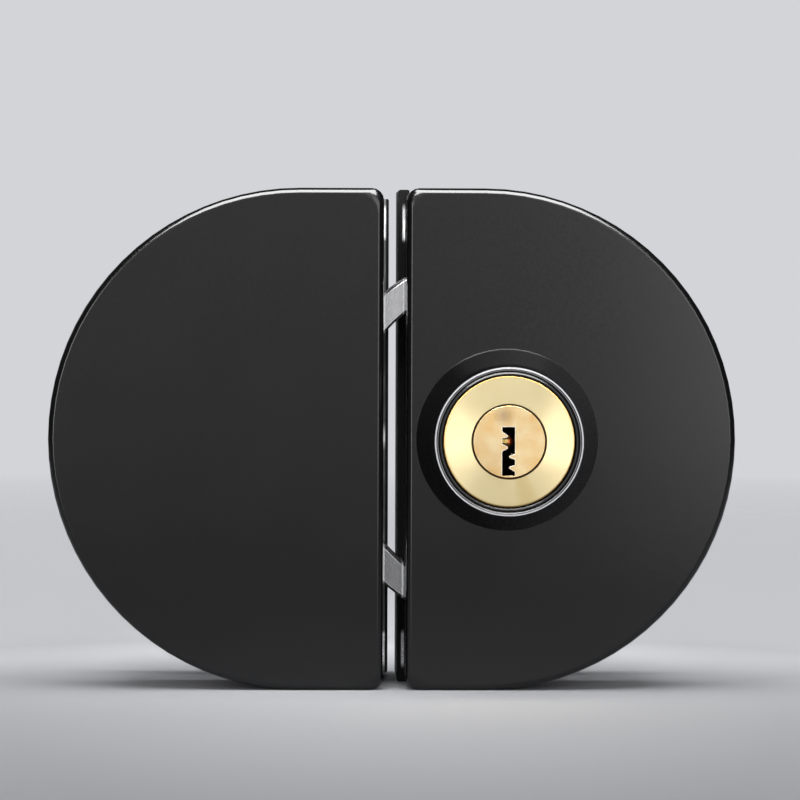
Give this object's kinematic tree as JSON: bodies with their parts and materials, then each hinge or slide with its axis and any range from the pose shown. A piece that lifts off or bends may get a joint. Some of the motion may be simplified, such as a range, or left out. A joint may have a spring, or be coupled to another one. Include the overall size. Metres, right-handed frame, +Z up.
{
  "type": "sliding glass door lock",
  "caption": "Clamp-on lock for frameless sliding glass doors: half-round housings on both sides of the meeting edge, with a round key cylinder that turns a C-shaped ring bolt.",
  "frame": {"origin": "under the middle of the whole object, on the surface that it stands on", "axes": "+Z up, +X from the strike half to the lock half, -Y out of the covers' front faces, where the key goes in"},
  "size_m": [0.1232, 0.0498, 0.09],
  "materials": {
    "satin_black": "satin black powder coat",
    "gloss_black": "gloss black lacquer",
    "brass": "turned",
    "plug_brass": "milled",
    "brushed_steel": "satin",
    "black_steel": "black oxide",
    "zinc": "as cast zinc alloy",
    "rubber": "matt"
  },
  "bodies": {
    "housing": {"lock_cover": "satin_black", "lock_bracket": "satin_black", "lock_front_gasket": "rubber", "lock_rear_gasket": "rubber", "lock_edge_gasket": "rubber", "lock_pressure_plate": "brushed_steel", "lock_cover_screw_1": "black_steel", "lock_cover_screw_2": "black_steel", "lock_cover_screw_3": "black_steel", "lock_cover_screw_4": "black_steel", "lock_set_screw_1": "black_steel", "lock_set_screw_2": "black_steel", "lock_set_screw_3": "black_steel", "strike_cover": "satin_black", "strike_bracket": "satin_black", "strike_front_gasket": "rubber", "strike_rear_gasket": "rubber", "strike_edge_gasket": "rubber", "strike_pressure_plate": "brushed_steel", "strike_cover_screw_1": "black_steel", "strike_cover_screw_2": "black_steel", "strike_cover_screw_3": "black_steel", "strike_cover_screw_4": "black_steel", "strike_set_screw_1": "black_steel", "strike_set_screw_2": "black_steel", "strike_set_screw_3": "black_steel", "strike_keeper": "zinc", "keeper_screw_1": "black_steel", "keeper_screw_2": "black_steel", "stop_pin_locked": "brushed_steel", "stop_pin_unlocked": "brushed_steel", "cylinder_bezel": "gloss_black", "cylinder_body": "brass", "pin_chamber_strip": "brass", "cylinder_screw_1": "brushed_steel", "cylinder_screw_2": "brushed_steel", "driver_pin_1": "brass", "pin_spring_1": "brushed_steel", "driver_pin_2": "brass", "pin_spring_2": "brushed_steel", "driver_pin_3": "brass", "pin_spring_3": "brushed_steel", "driver_pin_4": "brass", "pin_spring_4": "brushed_steel", "driver_pin_5": "brass", "pin_spring_5": "brushed_steel"},
    "bolt": {"ring_bolt": "brushed_steel"},
    "plug": {"cylinder_plug": "plug_brass", "plug_clip": "brushed_steel", "key_pin_1": "brass", "key_pin_2": "brass", "key_pin_3": "brass", "key_pin_4": "brass", "key_pin_5": "brass"}
  },
  "joints": [
    {"name": "bolt_turn", "type": "hinge", "parent": "housing", "child": "bolt", "pos_m": [0.02057, -0.003, 0.045], "axis": [0, 1, 0], "range_deg": [0, 180]},
    {"name": "key_turn", "type": "hinge", "parent": "housing", "child": "plug", "pos_m": [0.02057, -0.015, 0.045], "axis": [0, 1, 0], "range_deg": [0, 180]}
  ],
  "couplings": [
    {"joint": "key_turn", "follows": "bolt_turn", "ratio": 1}
  ]
}
